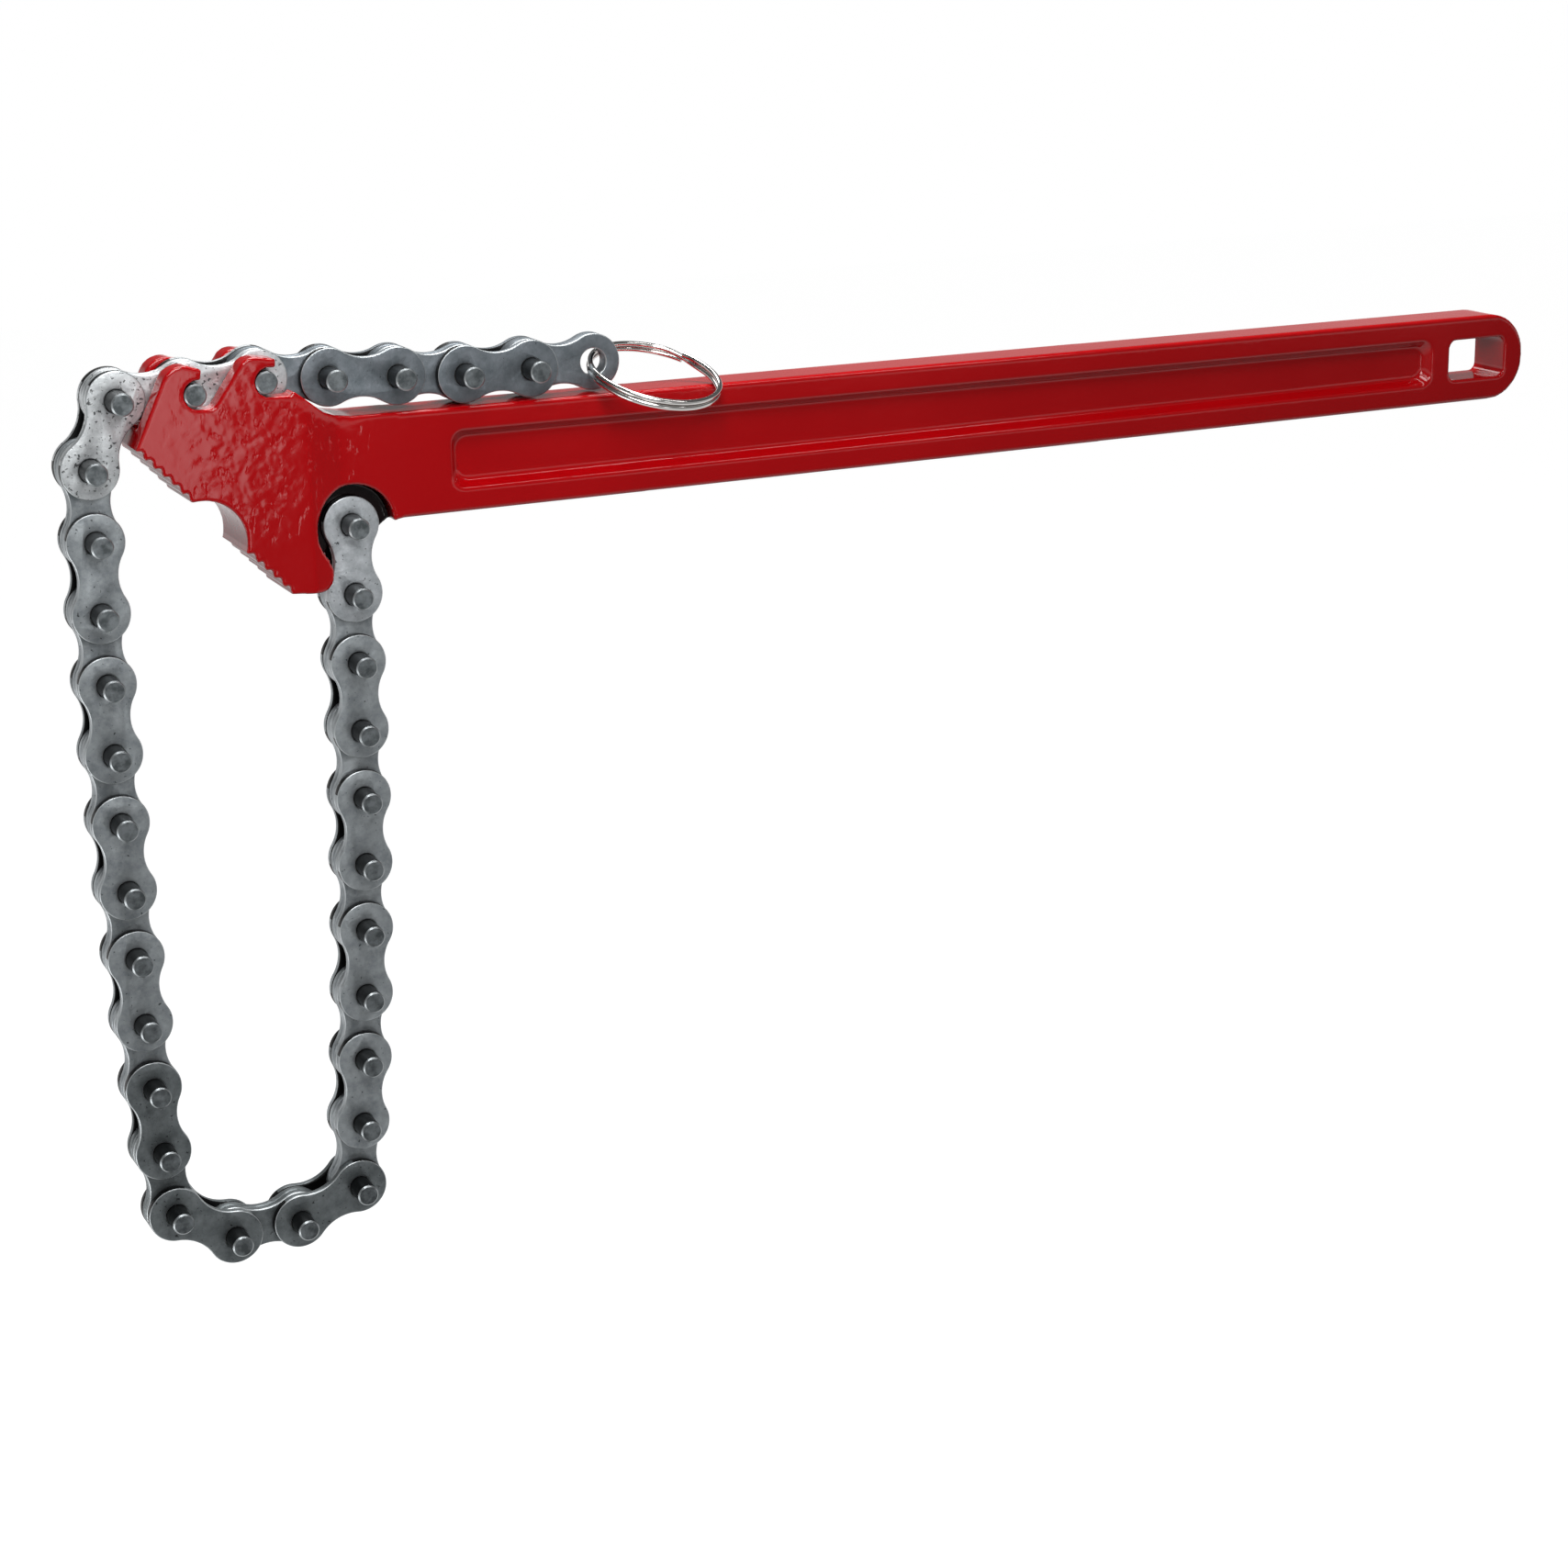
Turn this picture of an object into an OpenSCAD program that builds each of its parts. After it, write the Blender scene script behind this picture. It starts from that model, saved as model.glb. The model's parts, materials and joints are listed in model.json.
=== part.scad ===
// Chain pipe wrench: a cast body with a toothed jaw and two hooks, a leaf chain
// hung from an anchor lug, looped and hooked back, and a split ring on its free end.
// Millimetres. X runs along the handle away from the head, Y away from the viewer,
// Z up. The origin is the hand grip, on the middle of the handle.

/* [Handle] */
// distance from the anchor pin to the end of the handle
handle_len = 321.2; // [260:0.1:380]
// distance from the anchor pin to the hand grip, the origin
grip_reach = 230; // [180:1:260]
// height of the handle's middle line above the anchor pin
handle_rise = 12.6; // [11.6:0.1:13.6]
// height of the handle where it leaves the head
handle_root_h = 24; // [22.5:0.1:25.5]
// height of the handle at its end
handle_end_h = 22; // [19:0.1:23]
// thickness of the handle
handle_thick = 12.8; // [11:0.1:14]
// radius of the handle's round end
end_round = 10.4; // [6:0.1:10.4]
// bevel along the handle's long edges
edge_bevel = 0.6; // [0.4:0.1:1.2]
// start of the side recess, from the anchor pin
recess_start = 23.5; // [20:0.5:30]
// end of the side recess, from the handle's end
recess_gap = 28.8; // [26:0.2:34]
// width of the rim round the side recess
recess_rim = 5.2; // [4.5:0.1:6.5]
// depth of the side recess
recess_depth = 2.5; // [1.5:0.1:3]
// slope of the recess walls, inwards over their depth
recess_draft = 1.7; // [1:0.1:2.2]
// corner radius of the side recess
recess_corner = 3; // [2.4:0.1:4]
// length of the hanging hole
hang_len = 17.5; // [14:0.5:19]
// height of the hanging hole
hang_h = 10.4; // [8:0.2:12]
// corner radius of the hanging hole
hang_corner = 2; // [1:0.1:3]
// metal between the hanging hole and the handle's end
hang_wall = 5.7; // [5:0.1:8]

/* [Head] */
// thickness of the head
head_thick = 20; // [18:0.5:24]
// where the head starts to narrow, left of the anchor pin
ramp_start = 10.5; // [9:0.5:12]
// where the head has narrowed to the handle, left of the anchor pin
ramp_end = 2.5; // [0:0.5:5]
// radius of the pocket that holds the first link
pocket_r = 9.4; // [8.8:0.1:9.8]
// radius of the anchor lug's round end
lug_r = 6; // [5.5:0.1:6.4]
// clearance each side between the chain and the slot that takes it
slot_clear = 0.4; // [0.3:0.05:0.8]

/* [Jaw] */
// downward slope of the jaw
jaw_slope = 47; // [45:0.5:49]
// length of the jaw
jaw_len = 47.6; // [45:0.1:49]
// pitch of the teeth
tooth_pitch = 2.75; // [2.2:0.05:3.2]
// depth of the teeth
tooth_depth = 1.15; // [0.8:0.05:1.5]
// radius of the gullet between the two rows of teeth
gullet_r = 9.8; // [8:0.1:11]
// distance of the gullet's centre outside the jaw line
gullet_out = 5.1; // [4.6:0.1:6]
// radius of the lower lobe's round end
lobe_r = 3.7; // [3.2:0.1:4]
// clearance between the lower lobe and the first link's waist
lobe_gap = 1.2; // [0.9:0.1:2]
// depth of the lower lobe's middle below the anchor pin
lobe_drop = 9.9; // [9:0.1:11]
// length of the flat between the jaw's lower end and the lobe's middle
lobe_flat = 6.9; // [5:0.1:8]
// drop of that flat over its length
lobe_fall = 0.7; // [0.4:0.1:1]

/* [Hooks] */
// first hook seat, right of the upper jaw tip
seat_in = 13.8; // [13:0.1:14.6]
// first hook seat, above the upper jaw tip
seat_over = 10.9; // [10:0.1:12]
// upward tilt of the hooked link
seat_tilt = 5.2; // [4:0.1:6.5]
// clearance between a pin and the hook that holds it
hook_clear = 0.7; // [0.5:0.05:1]
// radius of the first horn
horn_r1 = 5; // [4.5:0.1:5.4]
// radius of the second horn
horn_r2 = 4.2; // [3.9:0.1:4.6]

/* [Chain] */
// distance between neighbouring pins
pitch = 15.875; // [15.5:0.025:16.1]
// radius of a plate's round ends
plate_r = 6.5; // [6.1:0.1:6.7]
// half height of a plate's waist
waist_half = 4.4; // [4:0.1:4.8]
// thickness of one plate
plate_thick = 2; // [1.8:0.1:2.2]
// gap between neighbouring plates
plate_gap = 0.1; // [0.1:0.05:0.2]
// radius of a pin
pin_r = 2.5; // [2.3:0.05:2.6]
// length of a pin
pin_len = 20.6; // [19:0.1:22]
// chamfer at a pin's ends
pin_chamfer = 0.35; // [0.2:0.05:0.5]
// running clearance between a pin and a hole that turns on it
run_clear = 0.1; // [0.08:0.01:0.2]
// extra clearance at the bottom pivot where the loop's two runs meet
loop_clear = 0.25; // [0.2:0.05:0.3]
// radius of the hole at the chain's free end
end_hole_r = 3.1; // [3:0.05:3.3]
// inward lean at the bottom of the right-hand run
right_lean = 6; // [4:0.1:8]
// inward lean at the bottom of the left-hand run
left_lean = 4; // [2:0.1:6]
// gap between the free end of the chain and the handle under it
rest_gap = 0.3; // [0.3:0.05:0.8]

/* [Ring] */
// radius of the split ring's middle line
ring_r = 15.2; // [14:0.1:16]
// radius of the ring's wire
wire_r = 0.6; // [0.5:0.05:0.65]
// gap between the ring's two turns
turn_gap = 0.15; // [0.1:0.05:0.2]
// swing of the ring towards the viewer
ring_yaw = 26; // [23:0.5:27]
// downward dip of the ring
ring_dip = 14.5; // [13:0.5:15]
// roll of the ring about its own dip line
ring_roll = 13.5; // [12:0.5:14]
// height of the wire above the middle of the end hole
ring_lift = 0.2; // [0:0.05:0.3]

/* [Hidden] */
$fn = 48;
rise = handle_rise;
run_r = pin_r + run_clear;
block_thick = head_thick + 4;
bevel_start = pocket_r + 2;
link_w = 2 * (plate_gap / 2 + plate_thick);
lug_thick = link_w;
outer_in = link_w / 2 + plate_gap;
outer_out = outer_in + plate_thick;
slot_half = outer_out + slot_clear;
seat_r = pin_r + hook_clear;
handle_slope = atan((handle_root_h - handle_end_h) / 2 / handle_len);
end_flat = 0.8;
end_r = min(end_round, (handle_end_h - end_flat) / 2);
lobe_mid = [-waist_half - lobe_gap - lobe_r, -lobe_drop];
jaw_dir = [cos(jaw_slope), -sin(jaw_slope)];
jaw_end = lobe_mid + [-lobe_flat, lobe_fall - lobe_r];
jaw_tip = jaw_end - jaw_len * jaw_dir;
seat_1 = jaw_tip + [seat_in, seat_over];
seat_2 = seat_1 + pitch * [cos(seat_tilt), sin(seat_tilt)];
slot_floor = seat_1.y - plate_r - slot_clear - 0.2;
upper_teeth = 6;
lower_teeth = 5;
gullet_mid = (upper_teeth * tooth_pitch + jaw_len - lower_teeth * tooth_pitch) / 2;

// half height of the handle at a distance from the anchor pin
function handle_half(x) = handle_root_h / 2 - x * tan(handle_slope);

// link headings round the loop; the bottom's tilt and the left run's lean close it
function headings(bottom, lean) = [
  for (i = [0:9]) -90 - right_lean * pow(i / 9, 1.5),
  -160.7 + bottom,
  -180 + bottom,
  -214.5 + bottom,
  -263,
  for (i = [0:9]) -270 + lean + left_lean * pow(1 - i / 9, 1.5),
  -294.7,
  -357.6
];
function loop_pins(turns) = [
  for (i = 0, at = [0, 0]; i <= len(turns);
    at = i < len(turns) ? at + pitch * [cos(turns[i]), sin(turns[i])] : at, i = i + 1) at
];
function loop_miss(bottom, lean) =
  let (pins = loop_pins(headings(bottom, lean)))
  pins[len(pins) - 1] - seat_1;
function close_loop(bottom, lean, steps) = steps == 0 ? [bottom, lean] :
  let (miss = loop_miss(bottom, lean))
  let (by_bottom = loop_miss(bottom + 1, lean) - miss)
  let (by_lean = loop_miss(bottom, lean + 1) - miss)
  let (area = by_bottom.x * by_lean.y - by_bottom.y * by_lean.x)
  close_loop(
    bottom - (miss.x * by_lean.y - miss.y * by_lean.x) / area,
    lean - (by_bottom.x * miss.y - by_bottom.y * miss.x) / area,
    steps - 1
  );
closed = close_loop(0, 0, 6);
loop = loop_pins(headings(closed[0], closed[1]));

// the free end slopes down over three links, then lies level along the handle
rest_at = 40;
rest_up = rise + handle_half(rest_at) + plate_r + rest_gap;
tail_drop = asin((seat_2.y - rest_up) / (3 * pitch));
tail = [
  for (i = [1:5]) seat_2 + pitch * (min(i, 3) * [cos(tail_drop), -sin(tail_drop)]
    + max(i - 3, 0) * [1, 0])
];
pins_at = concat(loop, [seat_2], tail);
last_link = len(pins_at) - 2;

function two(i) = i < 10 ? str("0", i) : str(i);

// children drawn in front view about the anchor pin, given a depth along Y
module upright(depth) {
  translate([-grip_reach, 0, -rise])
    rotate([90, 0, 0])
      linear_extrude(depth, center = true)
        children();
}

module along_link(k) {
  step = pins_at[k + 1] - pins_at[k];
  translate(pins_at[k])
    rotate(atan2(step.y, step.x))
      children();
}

// one horn's round back and its beak, about the seat it closes
module horn(seat, radius, reach) {
  mid = seat + [-2.4, 1.5];
  upright(block_thick)
    translate(mid)
      circle(radius);
  upright(block_thick)
    polygon([
      mid + [0, radius],
      seat + [reach, 4.9 + (radius - 4.2) * 0.7],
      seat + [reach - 0.4, seat_r - 0.1],
      mid + [0, 0.8]
    ]);
}

// the open mouth in front of a seat, up to the next rise of the head
module mouth(seat, reach, foot, far) {
  upright(block_thick)
    translate(seat + [hook_clear - 0.01, 0])
      circle(seat_r);
  upright(block_thick)
    polygon([
      seat + [hook_clear, -seat_r],
      seat + foot,
      seat + far,
      seat + [reach + 0.05, far.y],
      seat + [reach - 0.35, seat_r - 0.15],
      seat + [hook_clear, seat_r - 0.15]
    ]);
}

// a row of saw teeth, each notch cut from outside the jaw line
module tooth_row(from, count) {
  out = 0.5;
  root = 0.42 * tooth_pitch;
  flat = 0.12;
  for (i = [0:count - 1])
    upright(block_thick)
      translate(jaw_tip + (from + i * tooth_pitch) * jaw_dir)
        rotate(-jaw_slope)
          polygon([
            [flat - (root - flat) * out / tooth_depth, -out],
            [tooth_pitch - flat + (tooth_pitch - flat - root) * out / tooth_depth, -out],
            [root, tooth_depth]
          ]);
}

module handle_bar() {
  turn_x = handle_len - end_r;
  half = handle_half(turn_x);
  upright(block_thick)
    polygon([
      [0, rise - handle_half(0)],
      [turn_x, rise - half],
      [handle_len, rise - half + end_r],
      [handle_len, rise + half - end_r],
      [turn_x, rise + half],
      [0, rise + handle_half(0)]
    ]);
  for (side = [-1, 1])
    upright(block_thick)
      translate([turn_x, rise + side * (half - end_r)])
        circle(end_r);
}

module head_block() {
  flank = seat_1 + [-2.4, 1.5] + horn_r1 * [-0.906, 0.424];
  foot_2 = seat_1 + [4, 0.1 - seat_r];
  back_2 = seat_2 + [-2.4, 1.5] + horn_r2 * [-0.814, 0.581];
  difference() {
    union() {
      upright(block_thick)
        polygon([
          jaw_tip,
          flank,
          seat_1 + [-2.4, 1.5],
          seat_1,
          foot_2,
          back_2,
          seat_2 + [-2.4, 1.5],
          seat_2,
          seat_2 + [6.2, -2.6],
          seat_2 + [10.2, -5.7],
          seat_2 + [13, -7.9],
          [-3, rise + handle_half(0) + 0.55],
          [4, rise + handle_half(4) - 0.4],
          [14, rise],
          [13, rise - handle_half(13) + 0.4],
          [9.2, rise - handle_half(9.2) - 0.4],
          [0.75 * lug_r, -0.55 * lug_r],
          [0, 0],
          lobe_mid,
          [lobe_mid.x, lobe_mid.y - lobe_r],
          jaw_end
        ]);
      upright(block_thick)
        circle(lug_r);
      upright(block_thick)
        translate(lobe_mid)
          circle(lobe_r);
      horn(seat_1, horn_r1, 1.8);
      horn(seat_2, horn_r2, 2.6);
    }
    mouth(seat_1, 1.8, foot_2 - seat_1, foot_2 - seat_1 + 17 * [0.581, 0.814]);
    mouth(seat_2, 2.6, [5.5, -seat_r - 0.1], [8, 12]);
    upright(block_thick)
      translate(jaw_tip + gullet_mid * jaw_dir)
        rotate(-jaw_slope)
          translate([0, -gullet_out])
            circle(gullet_r);
    tooth_row(0, upper_teeth);
    tooth_row(jaw_len - lower_teeth * tooth_pitch, lower_teeth);
  }
}

module plan_outline() {
  half_head = head_thick / 2;
  half_handle = handle_thick / 2;
  polygon([
    [-80, -half_head],
    [-ramp_start, -half_head],
    [-ramp_end, -half_handle],
    [handle_len + 10, -half_handle],
    [handle_len + 10, half_handle],
    [-ramp_end, half_handle],
    [-ramp_start, half_head],
    [-80, half_head]
  ]);
}

module rounded_window(length, height, radius) {
  square([length, height - 2 * radius], center = true);
  square([length - 2 * radius, height], center = true);
  for (sx = [-1, 1])
    for (sz = [-1, 1])
      translate([sx * (length / 2 - radius), sz * (height / 2 - radius)])
        circle(radius);
}

module recess_window(inset) {
  left = recess_start + inset;
  right = handle_len - recess_gap - inset;
  reach = recess_rim + inset + recess_corner;
  hull()
    for (side = [-1, 1]) {
      translate([left + recess_corner, rise + side * (handle_half(left) - reach)])
        circle(recess_corner);
      translate([right - recess_corner, rise + side * (handle_half(right) - reach)])
        circle(recess_corner);
    }
}

// both recesses at once: they are cut from the outside down to their floors
module side_recess() {
  floor_half = handle_thick / 2 - recess_depth;
  for (side = [0, 1])
    translate([-grip_reach, 0, -rise])
      rotate([90, 0, 0])
        mirror([0, 0, side])
          hull() {
            translate([0, 0, floor_half])
              linear_extrude(0.01)
                recess_window(recess_draft);
            translate([0, 0, handle_thick / 2])
              linear_extrude(0.01)
                recess_window(0);
          }
}

module long_bevels() {
  for (top = [-1, 1])
    for (side = [-1, 1])
      translate([-grip_reach, side * handle_thick / 2, top * handle_half(0)])
        rotate([0, top * handle_slope, 0])
          rotate([top > 0 ? -45 * side : 180 + 45 * side, 0, 0])
            translate([bevel_start, -2 * edge_bevel, -edge_bevel * 0.7071])
              cube([handle_len, 4 * edge_bevel, 3 * edge_bevel]);
}

module wrench_body() {
  color("firebrick")
    difference() {
      intersection() {
        union() {
          head_block();
          handle_bar();
        }
        translate([-grip_reach, 0, -100])
          linear_extrude(200)
            plan_outline();
      }
      translate([-grip_reach - 60, -slot_half, slot_floor - rise])
        cube([120, 2 * slot_half, 40]);
      for (side = [-1, 1])
        translate([-grip_reach, side * (lug_thick / 2 + head_thick / 2), -rise])
          rotate([90, 0, 0])
            cylinder(r = pocket_r, h = head_thick, center = true);
      upright(block_thick)
        circle(run_r);
      upright(block_thick)
        translate([handle_len - hang_wall - hang_len / 2, rise])
          rounded_window(hang_len, hang_h, hang_corner);
      side_recess();
      long_bevels();
    }
}

// a plate's outline: two round ends joined by a hollow waist
module plate_outline() {
  hollow_r = (pow(pitch / 2, 2) + pow(waist_half, 2) - pow(plate_r, 2)) / (2 * (plate_r - waist_half));
  hollow_mid = waist_half + hollow_r;
  share = plate_r / (plate_r + hollow_r);
  touch = [pitch / 2 * (1 - share), hollow_mid * share];
  for (x = [0, pitch])
    translate([x, 0])
      circle(plate_r);
  difference() {
    translate([pitch / 2 - touch.x, -touch.y])
      square([2 * touch.x, 2 * touch.y]);
    for (side = [-1, 1])
      translate([pitch / 2, side * hollow_mid])
        circle(hollow_r, $fn = 96);
  }
}

module plate(k, middle, thick, near_r, far_r) {
  translate([0, middle, 0])
    upright(thick)
      along_link(k)
        difference() {
          plate_outline();
          circle(near_r);
          translate([pitch, 0])
            circle(far_r);
        }
}

module outer_link(n) {
  color("slategray")
    for (side = [-1, 1])
      plate(2 * n - 2, side * (outer_in + outer_out) / 2, plate_thick, pin_r, pin_r);
}

module inner_link(n) {
  far_r = run_r + (n == 6 ? loop_clear : 0);
  color("lightslategray")
    for (side = [-1, 1])
      plate(2 * n - 1, side * (plate_gap + plate_thick) / 2, plate_thick, run_r, far_r);
}

module end_link() {
  color("slategray")
    plate(last_link, 0, link_w, run_r, end_hole_r);
}

module link_pin(at) {
  translate([at.x - grip_reach, 0, at.y - rise])
    rotate([90, 0, 0]) {
      cylinder(r = pin_r, h = pin_len - 2 * pin_chamfer, center = true);
      for (end = [0, 180])
        rotate([end, 0, 0])
          translate([0, 0, pin_len / 2 - pin_chamfer])
            cylinder(r1 = pin_r, r2 = pin_r - pin_chamfer, h = pin_chamfer);
    }
}

module link_pins(n) {
  color("lightgray")
    for (k = [2 * n - 2, 2 * n - 1])
      link_pin(pins_at[k]);
}

// two flat turns of wire, joined at one side, hung through the end link's hole
module split_ring() {
  hole = pins_at[last_link + 1];
  lift = wire_r + turn_gap / 2;
  color("gainsboro")
    translate([hole.x - grip_reach, 0, hole.y + ring_lift - rise])
      rotate([ring_roll, ring_dip, -ring_yaw])
        translate([ring_r, 0, 0]) {
          for (side = [-1, 1])
            translate([0, 0, side * lift])
              rotate_extrude($fn = 96)
                translate([ring_r, 0])
                  circle(wire_r, $fn = 24);
          rotate(70)
            translate([ring_r, 0, 0])
              rotate([90, 0, 0])
                cylinder(r = wire_r * 0.9, h = 3, center = true, $fn = 24);
        }
}

wrench_body();
for (i = [1:16])
  outer_link(i);
for (i = [1:16])
  link_pins(i);
for (i = [1:15])
  inner_link(i);
end_link();
split_ring();
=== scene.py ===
import json
import math
import bpy
from mathutils import Matrix, Vector

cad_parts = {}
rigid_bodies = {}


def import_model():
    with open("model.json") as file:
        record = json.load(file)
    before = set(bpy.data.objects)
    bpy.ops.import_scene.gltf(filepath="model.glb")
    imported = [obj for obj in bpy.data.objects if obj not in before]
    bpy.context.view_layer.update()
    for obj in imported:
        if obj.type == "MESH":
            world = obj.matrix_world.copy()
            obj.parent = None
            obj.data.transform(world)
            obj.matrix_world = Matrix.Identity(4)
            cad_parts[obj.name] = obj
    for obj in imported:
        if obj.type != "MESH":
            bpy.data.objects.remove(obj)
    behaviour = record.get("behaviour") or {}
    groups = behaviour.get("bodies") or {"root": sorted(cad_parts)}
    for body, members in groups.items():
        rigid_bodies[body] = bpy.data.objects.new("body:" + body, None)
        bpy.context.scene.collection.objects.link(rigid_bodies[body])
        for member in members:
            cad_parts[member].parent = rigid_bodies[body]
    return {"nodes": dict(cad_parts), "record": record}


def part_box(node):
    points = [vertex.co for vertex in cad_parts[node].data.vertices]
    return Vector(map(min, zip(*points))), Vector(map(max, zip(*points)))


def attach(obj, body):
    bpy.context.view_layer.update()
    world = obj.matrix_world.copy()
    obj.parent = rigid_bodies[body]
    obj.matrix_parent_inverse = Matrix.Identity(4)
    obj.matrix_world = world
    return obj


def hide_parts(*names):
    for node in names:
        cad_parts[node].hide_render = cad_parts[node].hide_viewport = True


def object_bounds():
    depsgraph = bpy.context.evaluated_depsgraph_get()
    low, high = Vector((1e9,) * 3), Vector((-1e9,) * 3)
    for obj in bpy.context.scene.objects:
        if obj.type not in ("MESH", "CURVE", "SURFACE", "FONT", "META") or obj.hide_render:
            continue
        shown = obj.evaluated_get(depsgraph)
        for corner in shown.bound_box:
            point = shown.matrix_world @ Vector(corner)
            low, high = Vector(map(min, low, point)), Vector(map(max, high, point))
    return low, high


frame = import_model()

scene = bpy.context.scene
cadLow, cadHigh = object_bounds()
behaviour = frame["record"]["behaviour"]
joints = {joint["name"]: joint for joint in behaviour["joints"]}
bodyOfNode = {node: body for body, nodes in behaviour["bodies"].items() for node in nodes}
anchorX, anchorZ = joints["anchor_pivot"]["pos_m"][::2]     # the pin that the first link hangs on


def hexColour(code):
    parts = [int(code[i:i + 2], 16) / 255 for i in (1, 3, 5)]
    linear = [p / 12.92 if p <= 0.04045 else ((p + 0.055) / 1.055) ** 2.4 for p in parts]
    return (*linear, 1.0)


def perMetre(millimetres):
    return 1000.0 / millimetres     # texture scale that gives features of that size


def clamped(value):
    return min(1.0, max(0.0, value))


def addNode(tree, kind, settings=None, inputs=None):
    made = tree.nodes.new(kind)
    for name, value in (settings or {}).items():
        setattr(made, name, value)
    for name, value in (inputs or {}).items():
        if isinstance(value, bpy.types.NodeSocket):
            tree.links.new(value, made.inputs[name])
        else:
            made.inputs[name].default_value = value
    return made


def newMaterial(name):
    material = bpy.data.materials.new(name)
    material.use_nodes = True
    tree = material.node_tree
    shader = tree.nodes["Principled BSDF"]
    place = addNode(tree, "ShaderNodeTexCoord").outputs["Object"]
    return material, tree, shader, place


def deselectAll():
    if bpy.context.object and bpy.context.object.mode != "OBJECT":
        bpy.ops.object.mode_set(mode="OBJECT")
    bpy.ops.object.select_all(action="DESELECT")


def makeActive(piece):
    deselectAll()
    piece.select_set(True)
    bpy.context.view_layer.objects.active = piece


def applyModifier(piece, kind, **settings):
    makeActive(piece)
    modifier = piece.modifiers.new(kind.lower(), kind)
    for name, value in settings.items():
        setattr(modifier, name, value)
    bpy.ops.object.modifier_apply(modifier=modifier.name)


def copyOfNode(nodeName, pieceName):
    source = frame["nodes"][nodeName]
    piece = bpy.data.objects.new(pieceName, source.data.copy())
    scene.collection.objects.link(piece)
    makeActive(piece)
    bpy.ops.object.mode_set(mode="EDIT")
    bpy.ops.mesh.select_all(action="SELECT")
    bpy.ops.mesh.remove_doubles(threshold=1e-5)     # a CAD node is loose triangles
    bpy.ops.object.mode_set(mode="OBJECT")
    piece.data.materials.clear()
    return piece


def standFor(piece, nodeName):
    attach(piece, bodyOfNode[nodeName])
    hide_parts(nodeName)


# Gloss enamel, sprayed and baked over a sand casting: deep red with a faint orange peel,
# dents of the sand under it on the head, and painted near-black shade deep in the pocket round the first
# pin.
# Sizes of patterns are in millimetres, heights and places in metres.
enamel = {
    "red": "#B4030A", "deepRed": "#A40208", "driftSize": 38, "driftFrom": 0.3, "driftTo": 0.7,
    "smooth": 0.08, "dull": 0.14, "ior": 1.5, "specular": 0.4,
    "dentSize": 1.5, "dentSquash": 0.45, "dentFrom": 0.27, "dentTo": 0.42,
    "dentHeight": 0.00012, "dentStrength": 0.7,
    "dentMiddle": (-0.018, 0.022), "dentReach": 0.026, "dentCore": 0.35,
    "peelSize": 1.3, "peelHeight": 0.00002, "peelStrength": 0.5,
    # the next colour and places paint near-black shade deep in the pocket round the first pin
    "paintedPocketShade": "#0E0203", "paintedShadeOver": 0.0092, "paintedShadeEnd": 0.0099,
    "paintedShadeDeep": 0.003, "paintedShadeShallow": 0.0062,
}


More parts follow.
